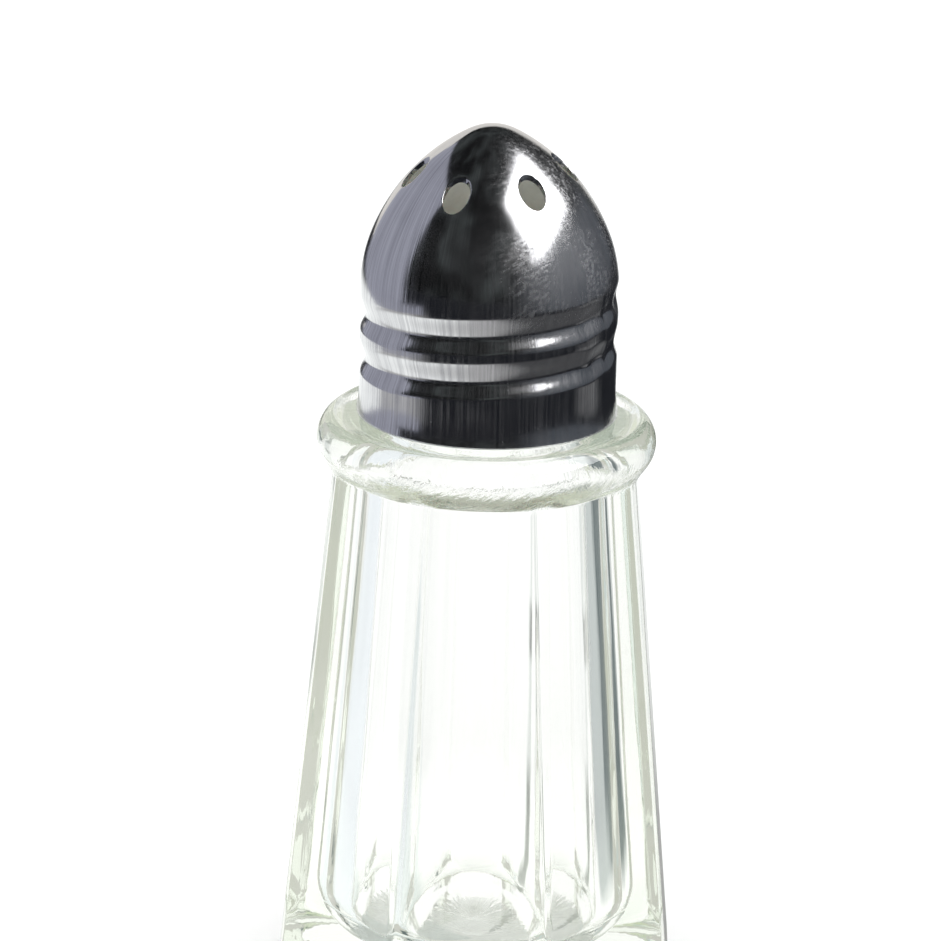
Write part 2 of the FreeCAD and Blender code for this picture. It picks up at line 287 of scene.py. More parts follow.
def punch_holes(cap):
    """Punches the six holes and rounds their outer rims."""
    punches = []
    for x, y in hole_centres():
        deselect()
        bpy.ops.mesh.primitive_cylinder_add(
            vertices=56,
            radius=HOLE_RADIUS * MM,
            depth=PUNCH_LENGTH * MM,
            location=(x * MM, y * MM, (HEM + PUNCH_HEIGHT) * MM),
        )
        punches.append(bpy.context.object)
    deselect()
    for punch in punches:
        punch.select_set(True)
    bpy.context.view_layer.objects.active = punches[0]
    bpy.ops.object.join()
    punch = bpy.context.object
    modifier(cap, "BOOLEAN", operation="DIFFERENCE", object=punch, solver="EXACT")
    bpy.data.objects.remove(punch)

    pick(cap)
    bpy.ops.object.mode_set(mode="EDIT")
    bpy.ops.mesh.select_mode(type="VERT")
    bpy.ops.mesh.select_all(action="SELECT")
    bpy.ops.mesh.remove_doubles(threshold=SLIVER * MM)
    bpy.ops.object.mode_set(mode="OBJECT")

    def is_wall(face):
        return abs(face.normal.z) < UPRIGHT and near_hole(face.center)

    def rim(mesh, edge, faces):
        if len(faces) != 2 or is_wall(faces[0]) == is_wall(faces[1]):
            return False
        sheet = faces[0] if is_wall(faces[1]) else faces[1]
        return sheet.normal.z > FACES_UP and sheet.center.z > (HEM + HOLE_RIMS_ABOVE) * MM

    bevel_edges(cap, rim, RIM_ROUNDING, 3)


def hem_edge(mesh, edge, faces):
    """True for the two sharp edges of the sheet's lower end."""
    ends = [mesh.vertices[v].co.z for v in edge.vertices]
    if max(ends) > (HEM + HEM_TOUCH) * MM or len(faces) != 2:
        return False
    return faces[0].normal.angle(faces[1].normal) > math.radians(SHARP)


def make_cap():
    cap = spin(draw_outline("cap_shell", cap_outline()), CAP_COLUMNS)
    reshape(cap, roll_thread)
    modifier(cap, "SOLIDIFY", thickness=SHEET * MM, offset=-1, use_even_offset=True)
    punch_holes(cap)
    bevel_edges(cap, hem_edge, HEM_ROUNDING, 3)
    smooth(cap, 40)
    return cap


def is_inner(face):
    """True for the unpolished inner side of the sheet."""
    middle, normal = face.center, face.normal
    if abs(normal.z) < UPRIGHT and middle.z > (HEM + HOLE_WALLS_ABOVE) * MM:
        return False
    low = min(middle.z, (HEM + DOME_CENTRE) * MM)
    outward = Vector((middle.x, middle.y, middle.z - low))
    return normal.dot(outward) < -0.2 * outward.length


# Glass jar

BASE_RADIUS = 26.0
WAIST_RADIUS = 18.7
WAIST = 70.05
SLOPE = (BASE_RADIUS - WAIST_RADIUS) / WAIST
PUSH_UP = 1.4              # height of the hollow under the base, its radius of curvature
PUSH_UP_CURVE = 122.93
PUSH_UP_RADIUS = 17.8      # and its reach
FOOT_RING = ((18.25, 0.06), (18.6, 0.0), (19.8, 0.0), (21.4, 0.0))
HEEL = 3.2
HEEL_INSET = 0.184
HEEL_BLEND_GROWTH = 0.25   # per millimetre down the heel, where the panels run out
WALL_TOP = 65.9            # the wall's rows of points stand closer towards heel and collar
WALL_ROWS = (3.6, 4.2, 5.2, 6.8, 9.0, 12.0, *range(16, 61, 4), 62, 63.5, 64.6, 65.4, WALL_TOP)
PANELS = 8
COLUMNS = 288
HALF_PANEL = 180 / PANELS
PANEL_COLUMNS = COLUMNS / PANELS
FLAT_COLUMNS = 8           # columns over half a flat, and with the rounding beside it
ROUNDED_COLUMNS = 14
LAND_AT_BASE = 0.6         # width of the land between two panels
LAND_AT_WAIST = 1.6
ARRIS_BLEND = 0.09
ARRIS_PARTING = 0.36       # how steeply flat and cone part at the arris
ARRIS_MARGIN = 1.15
PRESSED_TOP = 68.4         # the outside below this height is pressed into panels
PRESSED_RADIUS = 17.0      # and the inside, which is narrower than this, stays round
EVEN_FROM = 66.4           # the columns spread evenly over this stretch below the collar
EVEN_STRETCH = 2.2
FILLET_BLEND = 1.1
BEAD_CENTRE = (16.868, 70.125)
BEAD_RADIUS = 3.262
BEAD_FROM = 65.0
COLLAR_FROM = 68.45
COLLAR_END = 62.0          # degrees up the bead where the crest begins
UNDER_FROM = 66.2
UNDER_STEP = 0.15
CREST_CENTRE = (18.16, 72.72)
CREST_RADIUS = 0.36
SHELF_END = (15.0, 73.0)
SHELF_SAG = 0.27
SHOULDER_BEND = 1.35
NECK = 13.65
NECK_MARGIN = 0.05         # what lies this close to its radius is the neck
NECK_FROM = 74.6
NECK_STEP = 0.22
LIP = 90.47
LIP_ROUNDING = 0.9
MOUTH_ROUNDING = 0.7
BORE = 9.0
BORE_ROWS = (86.0, 82.0, 78.0, 75.0)
THROAT_BEND = 4.64         # radius and turn of the two arcs that widen the bore
THROAT_TURN = 40.3
THROAT_TOP = 71.5
THROAT_END = 65.5
WAIST_BORE = 11.2
FOOT_BORE = 14.2
INNER_END = 13.4
INNER_FLOOR = 8.0
FLOOR_ROUNDING = 5.0
FLOOR_RISE = 0.09          # of the floor's middle, over this radius
FLOOR_RISE_RADIUS = 9.0
RIDGE_START = -10.0
RIDGE_END = 530.0
RIDGE_LOW = 79.30
RIDGE_RISE = 0.75
RIDGE_FADE = 22.0
RIDGE_HALF = 1.1           # half its width, and the part of that which its flank takes
RIDGE_FLANK = 0.62


def cone(height):
    return BASE_RADIUS - SLOPE * height


def land_half(height):
    """Half the angle that a narrow land between two panels takes, in degrees."""
    width = LAND_AT_BASE + (LAND_AT_WAIST - LAND_AT_BASE) * (height / WAIST)
    return np.degrees(np.arcsin(width / 2 / cone(height)))


def panel_reach(height):
    """Distance of a panel's flat from the axis, a straight run from foot to waist."""
    low = BASE_RADIUS * math.cos(math.radians(HALF_PANEL - land_half(0.0)))
    high = WAIST_RADIUS * math.cos(math.radians(HALF_PANEL - land_half(WAIST)))
    return low + (high - low) * height / WAIST


def bead(height):
    """Collar bead as a radius over height, nothing below it."""
    inside = BEAD_RADIUS**2 - (height - BEAD_CENTRE[1]) ** 2
    return np.where(inside > 0, BEAD_CENTRE[0] + np.sqrt(np.maximum(inside, 0)), 0)


def outer_outline():
    """Outside of the jar, from the middle of its base up to the foot of the neck."""
    push_up = [
        (r, PUSH_UP - PUSH_UP_CURVE + math.sqrt(PUSH_UP_CURVE**2 - r * r))
        for r in np.linspace(0, PUSH_UP_RADIUS, 16)
    ]
    heel = arc((BASE_RADIUS - HEEL_INSET - HEEL, HEEL), HEEL, -90, -2, 12)
    wall = [(cone(z), z) for z in WALL_ROWS]
    under = [
        (float(soft_high(cone(z), bead(z), FILLET_BLEND)), z)
        for z in np.arange(UNDER_FROM, COLLAR_FROM, UNDER_STEP)
    ]
    collar_start = math.degrees(math.asin((COLLAR_FROM - BEAD_CENTRE[1]) / BEAD_RADIUS))
    collar = arc(BEAD_CENTRE, BEAD_RADIUS, collar_start, COLLAR_END, 22)
    crest = arc(CREST_CENTRE, CREST_RADIUS, 58, 118, 6)
    (start_x, start_z), (end_x, end_z) = crest[-1], SHELF_END
    shelf = [
        (
            start_x + (end_x - start_x) * t,
            start_z + (end_z - start_z) * t - SHELF_SAG * 4 * t * (1 - t),
        )
        for t in (k / 9 for k in range(1, 9))
    ]
    bend = arc((end_x, end_z + SHOULDER_BEND), SHOULDER_BEND, 270, 180, 8)
    return push_up + list(FOOT_RING) + heel + wall + under + collar + crest + shelf + bend


def inner_outline():
    """Neck, lip and hollow of the jar, from the neck's foot to the middle of the floor."""
    neck = [(NECK, z) for z in np.arange(NECK_FROM, LIP - LIP_ROUNDING, NECK_STEP)]
    lip = arc((NECK - LIP_ROUNDING, LIP - LIP_ROUNDING), LIP_ROUNDING, 0, 90, 6)
    mouth = arc((BORE + MOUTH_ROUNDING, LIP - MOUTH_ROUNDING), MOUTH_ROUNDING, 90, 180, 6)
    bore = [(BORE, z) for z in BORE_ROWS]
    throat = arc((BORE + THROAT_BEND, THROAT_TOP), THROAT_BEND, 180, 180 + THROAT_TURN, 8)
    waist = arc((WAIST_BORE - THROAT_BEND, THROAT_END), THROAT_BEND, THROAT_TURN, 0, 8)
    inner = [
        (WAIST_BORE + (FOOT_BORE - WAIST_BORE) * t, THROAT_END + (INNER_END - THROAT_END) * t)
        for t in np.linspace(0.04, 0.98, 15)
    ]
    corner = (FOOT_BORE - FLOOR_ROUNDING, INNER_FLOOR + FLOOR_ROUNDING)
    floor = arc(corner, FLOOR_ROUNDING, 3, -90, 14)
    bottom = [
        (r, INNER_FLOOR + FLOOR_RISE * (1 - r / FLOOR_RISE_RADIUS))
        for r in np.linspace(7.5, 0.0, 6)
    ]
    return neck + lip + mouth + bore + throat + waist + inner + floor + bottom


def press_panels(angle, radius, height):
    """The mould presses eight flats into the cone, with a soft narrow land between two,
    and lets them run out under the collar and on the heel."""
    outside = (height < PRESSED_TOP) & (radius > PRESSED_RADIUS)
    column = np.round((angle + 90) / (360 / COLUMNS))
    panel = np.round(column / PANEL_COLUMNS)
    step = column - panel * PANEL_COLUMNS
    side, step = np.sign(step), np.abs(step)
    level = np.clip(height, HEEL, WAIST)
    crease = HALF_PANEL - land_half(level)
    soft = np.degrees(ARRIS_BLEND / ARRIS_PARTING / cone(level)) * ARRIS_MARGIN
    last = PANEL_COLUMNS / 2
    over_flat = step / FLAT_COLUMNS * (crease - soft)
    rounded = (step - FLAT_COLUMNS) / (ROUNDED_COLUMNS - FLAT_COLUMNS)
    over_arris = crease - soft + rounded * 2 * soft
    landed = (step - ROUNDED_COLUMNS) / (last - ROUNDED_COLUMNS)
    over_land = crease + soft + landed * (HALF_PANEL - crease - soft)
    turn = np.where(step <= ROUNDED_COLUMNS, over_arris, over_land)
    turn = np.where(step <= FLAT_COLUMNS, over_flat, turn)
    even = step / last * HALF_PANEL
    turn = turn + (even - turn) * ease((height - EVEN_FROM) / EVEN_STRETCH)
    flat = panel_reach(height) / np.cos(np.radians(turn))
    blend = ARRIS_BLEND + np.maximum(HEEL - height, 0) * HEEL_BLEND_GROWTH
    round_body = np.where(height < WALL_TOP, radius, cone(height))
    body = soft_low(round_body, flat, blend)
    pressed = np.where(height > BEAD_FROM, soft_high(body, bead(height), FILLET_BLEND), body)
    new_angle = panel * (360 / PANELS) - 90 + side * turn
    return np.where(outside, new_angle, angle), np.where(outside, pressed, radius)


def raise_thread(angle, radius, height):
    """Glass ridge that the cap's rolled thread hooks under."""
    on_neck = (np.abs(radius - NECK) < NECK_MARGIN) & (height > NECK_FROM)
    length = RIDGE_END - RIDGE_START
    rise = np.zeros_like(radius)
    for lap in range(LAPS):
        along = np.mod(angle - RIDGE_START, 360) + 360 * lap
        centre = RIDGE_LOW + PITCH * along / 360
        fade = ease(along / RIDGE_FADE) * ease((length - along) / RIDGE_FADE)
        off = np.abs(height - centre)
        rise = np.maximum(rise, RIDGE_RISE * fade * ease((RIDGE_HALF - off) / RIDGE_FLANK))
    return angle, np.where(on_neck, radius + rise, radius)


def make_jar():
    jar = spin(draw_outline("jar_glass_body", outer_outline() + inner_outline()), COLUMNS)
    reshape(jar, press_panels)
    reshape(jar, raise_thread)
    smooth(jar, 60)
    return jar


# Lip washer

WASHER_INNER = BORE + 0.2   # clears the bore below it
WASHER_OUTER = 14.37
WASHER_LOW = 90.5
WASHER_HIGH = 91.3
WASHER_ROUNDING = 0.18
WASHER_COLUMNS = 128


def make_washer():
    """Flat ring with rounded edges."""
    inner, outer = WASHER_INNER + WASHER_ROUNDING, WASHER_OUTER - WASHER_ROUNDING
    low, high = WASHER_LOW + WASHER_ROUNDING, WASHER_HIGH - WASHER_ROUNDING
    outline = []
    corners = ((outer, low), (outer, high), (inner, high), (inner, low))
    for start, corner in zip((-90, 0, 90, 180), corners):
        outline += arc(corner, WASHER_ROUNDING, start, start + 90, 4)
    washer = spin(draw_outline("washer_ring", outline + outline[:1]), WASHER_COLUMNS)
    smooth(washer, 50)
    return washer


# Shader building


def new_material(name):
    """Material with its node tree and its first shader."""
    material = bpy.data.materials.new(name)
    material.use_nodes = True
    return material, material.node_tree, material.node_tree.nodes["Principled BSDF"]


def dress(piece, *materials):
    piece.data.materials.clear()
    for material in materials:
        piece.data.materials.append(material)


def new_group(name, inputs, outputs):
    """Node group with named sockets; inputs are (name, kind, value)."""
    group = bpy.data.node_groups.new(name, "ShaderNodeTree")
    for label, kind, value in inputs:
        socket = group.interface.new_socket(name=label, in_out="INPUT", socket_type=kind)
        if value is not None:
            socket.default_value = value
    for label, kind in outputs:
        group.interface.new_socket(name=label, in_out="OUTPUT", socket_type=kind)
    return group, group.nodes.new("NodeGroupInput"), group.nodes.new("NodeGroupOutput")


def place_group(tree, group, vector, **values):
    placed = tree.nodes.new("ShaderNodeGroup")
    placed.node_tree = group
    tree.links.new(vector, placed.inputs["Vector"])
    for label, value in values.items():
        placed.inputs[label.replace("_", " ")].default_value = value
    return placed.outputs


def feed(tree, socket, value):
    """Links a socket to another, or sets its plain value."""
    if isinstance(value, bpy.types.NodeSocket):
        tree.links.new(value, socket)
    else:
        socket.default_value = value


def maths(tree, operation, *values, clamp=False):
    made = tree.nodes.new("ShaderNodeMath")
    made.operation = operation
    made.use_clamp = clamp
    for socket, value in zip(made.inputs, values):
        feed(tree, socket, value)
    return made.outputs["Value"]


def product(tree, first, *others):
    for other in others:
        first = maths(tree, "MULTIPLY", first, other)
    return first


def highest(tree, first, *others):
    for other in others:
        first = maths(tree, "MAXIMUM", first, other)
    return first


def vector_maths(tree, operation, *values):
    made = tree.nodes.new("ShaderNodeVectorMath")
    made.operation = operation
    for socket, value in zip(made.inputs, values):
        feed(tree, socket, value)
    return made.outputs


def grain(tree, vector, scale, detail=2.0, roughness=0.5):
    made = tree.nodes.new("ShaderNodeTexNoise")
    feed(tree, made.inputs["Vector"], vector)
    feed(tree, made.inputs["Scale"], scale)
    feed(tree, made.inputs["Detail"], detail)
    made.inputs["Roughness"].default_value = roughness
    return made.outputs["Fac"]


def window(tree, value, low, high, to_low=0.0, to_high=1.0):
    """Maps low..high of a value to to_low..to_high, clamped."""
    made = tree.nodes.new("ShaderNodeMapRange")
    feed(tree, made.inputs["Value"], value)
    made.inputs["From Min"].default_value = low
    made.inputs["From Max"].default_value = high
    made.inputs["To Min"].default_value = to_low
    made.inputs["To Max"].default_value = to_high
    return made.outputs["Result"]


def zone(tree, place, start, end, *to):
    """Window between two places in millimetres."""
    return window(tree, place, start * MM, end * MM, *to)


def between(tree, value, low, low_end, high_end, high):
    """1 between two levels, fading to 0 outside them."""
    rising = window(tree, value, low, low_end)
    return product(tree, rising, window(tree, value, high, high_end))


def pair_colours(tree, mask, first, second):
    """Blend of two colours, each plain or from a socket."""
    made = tree.nodes.new("ShaderNodeMix")
    made.data_type = "RGBA"
    feed(tree, made.inputs["Factor"], mask)
    for socket, colour in ((made.inputs["A"], first), (made.inputs["B"], second)):
        feed(tree, socket, (*colour, 1) if isinstance(colour, tuple) else colour)
    return made.outputs["Result"]


def object_vector(tree):
    return tree.nodes.new("ShaderNodeTexCoord").outputs["Object"]


def coordinates(tree, vector):
    """X, Y and Z of a place, each a socket."""
    parts = tree.nodes.new("ShaderNodeSeparateXYZ")
    tree.links.new(vector, parts.inputs["Vector"])
    return parts.outputs


def axis_distance(tree, vector):
    """Distance of a place from the object's upright axis."""
    flat = vector_maths(tree, "MULTIPLY", vector, (1, 1, 0))["Vector"]
    return vector_maths(tree, "LENGTH", flat)["Value"]


def stretched(tree, vector, turn, scale):
    """Turns a pattern, and then packs it closer by the scale along each axis."""
    made = tree.nodes.new("ShaderNodeMapping")
    made.vector_type = "TEXTURE"
    feed(tree, made.inputs["Vector"], vector)
    made.inputs["Rotation"].default_value = [math.radians(a) for a in turn]
    made.inputs["Scale"].default_value = [1 / s for s in scale]
    return made.outputs["Vector"]


def bump(tree, shader, height, distance):
    made = tree.nodes.new("ShaderNodeBump")
    made.inputs["Distance"].default_value = distance
    feed(tree, made.inputs["Height"], height)
    tree.links.new(made.outputs["Normal"], shader.inputs["Normal"])


def light_path(tree):
    return tree.nodes.new("ShaderNodeLightPath").outputs


def cut_short(tree):
    """1 where the render ends a path, at its fifth reflection or its thirteenth step."""
    path = light_path(tree)
    mirrored = maths(tree, "GREATER_THAN", path["Glossy Depth"], 4.5)
    return highest(tree, mirrored, maths(tree, "GREATER_THAN", path["Ray Depth"], 12.5))


def only_reflections(tree):
    """1 for a ray that a surface reflects, 0 for one that glass lets through and the rest."""
    path = light_path(tree)
    seen = path["Is Glossy Ray"], path["Is Transmission Ray"]
    return maths(tree, "SUBTRACT", *seen, clamp=True)


def give_off(material, shader, colour):
    """Lets a surface put out this light, without making it one of the render's lamps."""
    material.node_tree.links.new(colour, shader.inputs["Emission Color"])
    shader.inputs["Emission Strength"].default_value = 1.0
    material.cycles.emission_sampling = "NONE"


def axial_lines_group():
    """Fine lines that run along the height of a round piece, seamless round its axis."""
    group, ins, outs = new_group(
        "axial_lines",
        [
            ("Vector", "NodeSocketVector", None),
            ("Lines", "NodeSocketFloat", 90.0),
            ("Run", "NodeSocketFloat", 150.0),
            ("Detail", "NodeSocketFloat", 1.0),
        ],
        [("Mask", "NodeSocketFloat")],
    )
    place = ins.outputs["Vector"]
    flat = vector_maths(group, "MULTIPLY", place, (1, 1, 0))["Vector"]
    unit = vector_maths(group, "NORMALIZE", flat)["Vector"]
    wide = vector_maths(group, "MULTIPLY", unit, ins.outputs["Lines"])["Vector"]
    up = group.nodes.new("ShaderNodeCombineXYZ")
    rise = product(group, coordinates(group, place)["Z"], ins.outputs["Run"])
    group.links.new(rise, up.inputs["Z"])
    both = vector_maths(group, "ADD", wide, up.outputs["Vector"])["Vector"]
    lines = grain(group, both, 1.0, ins.outputs["Detail"], 0.6)
    group.links.new(window(group, lines, 0.30, 0.70), outs.inputs["Mask"])
    return group


def handling_marks_group():
    """Marks of use: soft smears, and sparse short scratches that lie every way."""
    group, ins, outs = new_group(
        "handling_marks",
        [
            ("Vector", "NodeSocketVector", None),
            ("Smear Size", "NodeSocketFloat", 140.0),
            ("Scratch Size", "NodeSocketFloat", 420.0),
        ],
        [("Smear", "NodeSocketFloat"), ("Scratch", "NodeSocketFloat")],
    )
    vector = ins.outputs["Vector"]
    smear = grain(group, vector, ins.outputs["Smear Size"], 4.0, 0.62)
    group.links.new(window(group, smear, 0.42, 0.68), outs.inputs["Smear"])
    found = []
    for turn, squash in (((20, 35, 0), 14.0), ((-15, -50, 30), 11.0), ((70, 10, -20), 12.0)):
        along = stretched(group, vector, turn, (squash, squash, 1.0))
        streaks = grain(group, along, ins.outputs["Scratch Size"], 1.0)
        found.append(window(group, streaks, 0.70, 0.76))
    here = window(group, grain(group, vector, 210.0, 1.0), 0.48, 0.56)
    group.links.new(product(group, highest(group, *found), here), outs.inputs["Scratch"])
    return group


# Finishes

STEEL_BRIGHT = (0.74, 0.74, 0.75)
STEEL_WORN = (0.42, 0.42, 0.44)
BRUSHED_HEIGHT = (HEM + 27, HEM + 15)     # each pair is where a finish begins and is full
SCUFFED_HEIGHT = (HEM + 11, HEM + 17)
SCUFFED_SIDE = (-2, 5)
SCUFF_TURN = (0, 60, 0)            # the scuffs lie aslant, fine across and long along
SCUFF_SCALE = (2600, 2600, 130)
INSIDE_CLEAN = (0.88, 0.88, 0.85)
INSIDE_SMEARED = (0.76, 0.75, 0.71)
PAINTED_INSIDE_GLOW_SEEN = (0.055, 0.055, 0.055)       # painted glow of the cap's inside for the camera,
PAINTED_INSIDE_GLOW_THROUGH = (0.26, 0.275, 0.235)     # through the glass
PAINTED_INSIDE_GLOW_LATE = (0.45, 0.46, 0.42)          # and where the render ends a path
GLASS_TINT = (0.45, 0.62, 0.24, 1)
GLASS_DENSITY = 3.6
PAINTED_LATE_LEFT = (0.72, 0.78, 0.84)            # painted glow, standing in for the room's light where the render ends a path:
PAINTED_LATE_RIGHT = (0.15, 0.19, 0.21)           # from left and right at the inner wall,
PAINTED_LATE_OUTER = (0.74, 0.71, 0.73)           # at the outer wall,
PAINTED_LATE_FOOT = (0.74, 0.72, 0.72)            # at the foot
PAINTED_LATE_NECK = (0.80, 0.84, 0.70)            # and from the collar up
LATE_RIGHT_FROM = (-6, 8)                 # the places where each of them begins and is full
LATE_OUTER_FROM = (15.5, 16.5)
LATE_FOOT_FROM = (26, 18)
LATE_NECK_FROM = (66, 69)
CHILL_TURN = (25, -35, 0)
CHILL_SCALE = (1.0, 1.0, 2.6)
CHILL_BAND = (66.4 * MM, 67.2 * MM, 69.9 * MM, 70.8 * MM)
PLASTIC_CLEAN = (0.80, 0.80, 0.76)
PLASTIC_DULL = (0.70, 0.69, 0.63)
BLACK = (0, 0, 0)


def steel_finish(lines_group, marks_group):
    """Bright stainless: polished at its tip, brushed upright below it, and scuffed
    aslant on the side where a hand holds it."""
    material, tree, shader = new_material("brushed_stainless")
    place = object_vector(tree)
    parts = coordinates(tree, place)
    brushed = zone(tree, parts["Z"], *BRUSHED_HEIGHT, 0.15, 1.0)
    scuffed_side = zone(tree, parts["X"], *SCUFFED_SIDE)
    scuffed = product(tree, scuffed_side, zone(tree, parts["Z"], *SCUFFED_HEIGHT))
    fine = place_group(tree, lines_group, place, Lines=62.0, Run=80.0, Detail=1.0)["Mask"]
    broad = place_group(tree, lines_group, place, Lines=21.0, Run=36.0, Detail=2.0)["Mask"]
    marks = place_group(tree, marks_group, place, Smear_Size=160.0, Scratch_Size=420.0)
    aslant = stretched(tree, place, SCUFF_TURN, SCUFF_SCALE)
    strokes = window(tree, grain(tree, aslant, 1.0, 2.0, 0.6), 0.42, 0.66)
    patches = window(tree, grain(tree, place, 150.0, 2.0), 0.34, 0.60)
    speckle = window(tree, grain(tree, place, 2600.0, 1.0), 0.52, 0.74)

    rough = 0.085
    for mask, weight in (
        (product(tree, strokes, patches, scuffed), 0.16),
        (product(tree, fine, brushed), 0.13),
        (product(tree, speckle, scuffed), 0.03),
        (scuffed, 0.05),
        (marks["Smear"], 0.05),
        (marks["Scratch"], 0.06),
    ):
        rough = maths(tree, "MULTIPLY_ADD", mask, weight, rough)
    feed(tree, shader.inputs["Roughness"], rough)

    soft_wear = product(tree, maths(tree, "ADD", broad, marks["Smear"]), 0.22)
    worn = maths(tree, "MULTIPLY_ADD", fine, 0.60, soft_wear)
    colour = pair_colours(tree, worn, STEEL_BRIGHT, STEEL_WORN)
    feed(tree, shader.inputs["Base Color"], colour)
    shader.inputs["Metallic"].default_value = 1.0

    lines = maths(tree, "MULTIPLY_ADD", fine, 1.1, product(tree, broad, 1.5))
    wander = product(tree, grain(tree, place, 260.0, 1.0), 7.0)
    bump(tree, shader, maths(tree, "MULTIPLY_ADD", lines, brushed, wander), 0.003 * MM)
    return material


def inner_steel_finish(marks_group):
    """The inside of the cap is left as drawn, matt and slightly yellowed, and is given a painted
    glow.
    """
    material, tree, shader = new_material("drawn_stainless_inside_painted_glow")
    place = object_vector(tree)
    marks = place_group(tree, marks_group, place, Smear_Size=230.0, Scratch_Size=300.0)
    frost = grain(tree, place, 3600.0, 2.0)
    feed(tree, shader.inputs["Roughness"], maths(tree, "MULTIPLY_ADD", frost, 0.20, 0.48))
    colour = pair_colours(tree, marks["Smear"], INSIDE_CLEAN, INSIDE_SMEARED)
    feed(tree, shader.inputs["Base Color"], colour)
    shader.inputs["Metallic"].default_value = 1.0
    # painted glow: it stands in for light that comes up through the thick glass, which the
    # render's lamps can't follow, for light where the render ends a path, and lifts the inside a
    # little for the camera
    path = light_path(tree)
    painted_light = pair_colours(tree, path["Is Camera Ray"], BLACK, PAINTED_INSIDE_GLOW_SEEN)
    painted_light = pair_colours(tree, path["Is Transmission Ray"], painted_light, PAINTED_INSIDE_GLOW_THROUGH)
    give_off(material, shader, pair_colours(tree, cut_short(tree), painted_light, PAINTED_INSIDE_GLOW_LATE))
    bump(tree, shader, frost, 0.006 * MM)
    return material


def glass_finish(lines_group, marks_group):
    """Clear soda glass with the faint ripple of the press and light rubs, and a painted glow
    where the render ends a path.
    """
    material, tree, shader = new_material("pressed_glass_with_painted_glow")
    place = object_vector(tree)
    parts = coordinates(tree, place)
    shader.inputs["Base Color"].default_value = (1, 1, 1, 1)
    shader.inputs["Transmission Weight"].default_value = 1.0
    shader.inputs["IOR"].default_value = 1.52
    marks = place_group(tree, marks_group, place, Smear_Size=120.0, Scratch_Size=260.0)
    feed(tree, shader.inputs["Roughness"], product(tree, marks["Scratch"], 0.10))
    ripple = place_group(tree, lines_group, place, Lines=11.0, Run=34.0)["Mask"]
    swell = grain(tree, place, 190.0, 2.0)
    # chill marks of the mould under the collar
    aslant = stretched(tree, place, CHILL_TURN, CHILL_SCALE)
    chill = window(tree, grain(tree, aslant, 560.0, 3.0, 0.6), 0.40, 0.66)
    chill = product(tree, chill, between(tree, parts["Z"], *CHILL_BAND))
    height = maths(tree, "MULTIPLY_ADD", chill, 2.1, maths(tree, "ADD", ripple, swell))
    bump(tree, shader, height, 0.012 * MM)
    # painted glow: a path that the render cuts short inside the glass is given the room's light,
    # which is bright on the left, and dark on the right behind the inner wall
    right = zone(tree, parts["X"], *LATE_RIGHT_FROM)
    outer = zone(tree, axis_distance(tree, place), *LATE_OUTER_FROM)
    foot = zone(tree, parts["Z"], *LATE_FOOT_FROM)
    neck = zone(tree, parts["Z"], *LATE_NECK_FROM)
    painted_late_light = pair_colours(tree, right, PAINTED_LATE_LEFT, PAINTED_LATE_RIGHT)
    for mask, colour in ((outer, PAINTED_LATE_OUTER), (foot, PAINTED_LATE_FOOT), (neck, PAINTED_LATE_NECK)):
        painted_late_light = pair_colours(tree, mask, painted_late_light, colour)
    give_off(material, shader, pair_colours(tree, cut_short(tree), BLACK, painted_late_light))
    depth = tree.nodes.new("ShaderNodeVolumeAbsorption")
    depth.inputs["Color"].default_value = GLASS_TINT
    depth.inputs["Density"].default_value = GLASS_DENSITY
    out = tree.nodes["Material Output"]
    tree.links.new(depth.outputs["Volume"], out.inputs["Volume"])
    return material


def washer_finish(marks_group):
    """Milky polyethylene, dulled by handling."""
    material, tree, shader = new_material("natural_polyethylene")
    place = object_vector(tree)
    marks = place_group(tree, marks_group, place, Smear_Size=300.0, Scratch_Size=500.0)
    colour = pair_colours(tree, marks["Smear"], PLASTIC_CLEAN, PLASTIC_DULL)
    feed(tree, shader.inputs["Base Color"], colour)
    feed(tree, shader.inputs["Roughness"], window(tree, marks["Smear"], 0, 1, 0.38, 0.55))
    shader.inputs["Subsurface Weight"].default_value = 0.2
    shader.inputs["Subsurface Scale"].default_value = 1.5 * MM
    bump(tree, shader, grain(tree, place, 1800.0, 2.0), 0.01 * MM)
    return material


# Studio, with its places in metres

CAP_CENTRE = Vector((0, 0, 92 * MM))
FLOOR_WIDTH = 8
FLOOR_GAP = 0.05 * MM   # keeps the floor just below the jar's foot
ROOM_LIGHT = 1.35
ROOM_THROUGH_GLASS = 1.12
SOFTBOX_DISTANCE = 0.6
SOFTBOX_CORNERS = ((44.0, 7.0), (106.0, 12.0), (132.0, 57.0), (17.0, 61.0))
SOFTBOX_FADES = (0.22, 0.10, 0.12, 0.10)
SPILL_CORNERS = ((12.0, 24.0), (95.0, 22.0), (95.0, 36.0), (12.0, 33.0))
SPILL_FADES = (0.3, 0.2, 0.3, 0.3)
# Standing cards: two places (x to the camera's right, y away from it), the lower edge,
# and the upper edge at the first and at the second place
LEFT_WALL = ((-0.235, -0.049), (-0.235, 0.407), 0.012, 0.385, 0.385)
BACKDROP = ((-0.6, 0.9), (0.35, 0.9), -0.3, 0.65, 0.55)
RIGHT_WALL = ((0.25, -0.7), (0.55, 0.8), -0.04, 0.36, 0.36)
RIGHT_WALL_FADES = (0.35, 0.0, 0.0, 0.25)
TABLE_EDGE = ((-0.23, -0.14), (-0.23, -0.03), 0.012, 0.05, 0.05)
TABLE_EDGE_FADES = (0.1, 0.0, 0.0, 0.2)

